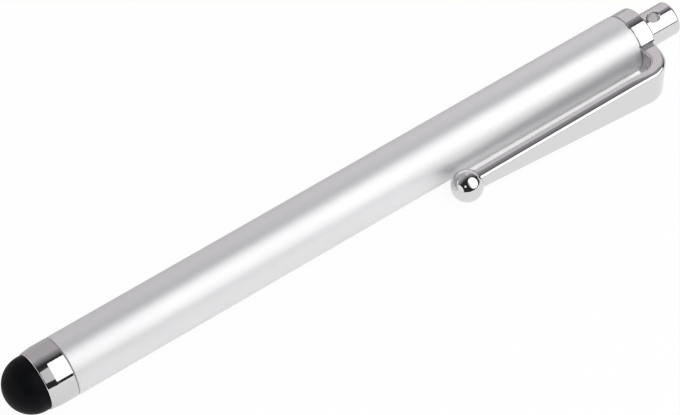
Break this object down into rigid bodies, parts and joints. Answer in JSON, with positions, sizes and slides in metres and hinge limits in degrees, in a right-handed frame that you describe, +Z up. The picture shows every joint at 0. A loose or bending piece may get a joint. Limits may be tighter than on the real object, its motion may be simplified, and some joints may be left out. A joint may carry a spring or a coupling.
{
  "type": "stylus pen",
  "caption": "Slim touch-screen stylus pen with a soft dome tip, a metal barrel, a sprung pocket clip ending in a ball, and a drilled strap post.",
  "frame": {"origin": "bottom middle of the pen's bounding box, on the table that it lies on", "axes": "+X along the pen from the soft tip to the strap post, -Y to the pocket clip's side, +Z up from the table"},
  "size_m": [0.1112, 0.0138, 0.0087],
  "materials": {
    "satin_barrel": "satin anodised silver with a very fine even grain",
    "bright_plate": "polished chrome plate",
    "soft_tip": "matt black conductive silicone",
    "brass_bush": "turned brass",
    "moulded_plug": "moulded conductive plastic"
  },
  "bodies": {
    "pen": {"barrel": "satin_barrel", "front_bush": "brass_bush", "ferrule": "bright_plate", "tip_plug": "moulded_plug", "rear_bush": "brass_bush", "cap": "bright_plate", "clip_root": "bright_plate", "strap_post": "bright_plate"},
    "clip": {"clip_arm": "bright_plate", "clip_ball": "bright_plate"},
    "tip": {"tip_dome": "soft_tip"}
  },
  "joints": [
    {"name": "clip_flex", "type": "hinge", "parent": "pen", "child": "clip", "pos_m": [0.04815, -0.00209, 0.00366], "axis": [0, -0.1469, 0.9892], "range_deg": [-0.8, 3.3], "stiffness_Nm_per_rad": 1.2},
    {"name": "tip_press", "type": "slide", "parent": "pen", "child": "tip", "axis": [1, 0, 0], "range_m": [0, 0.0008], "stiffness_N_per_m": 800, "deforming": ["tip_dome"]}
  ]
}
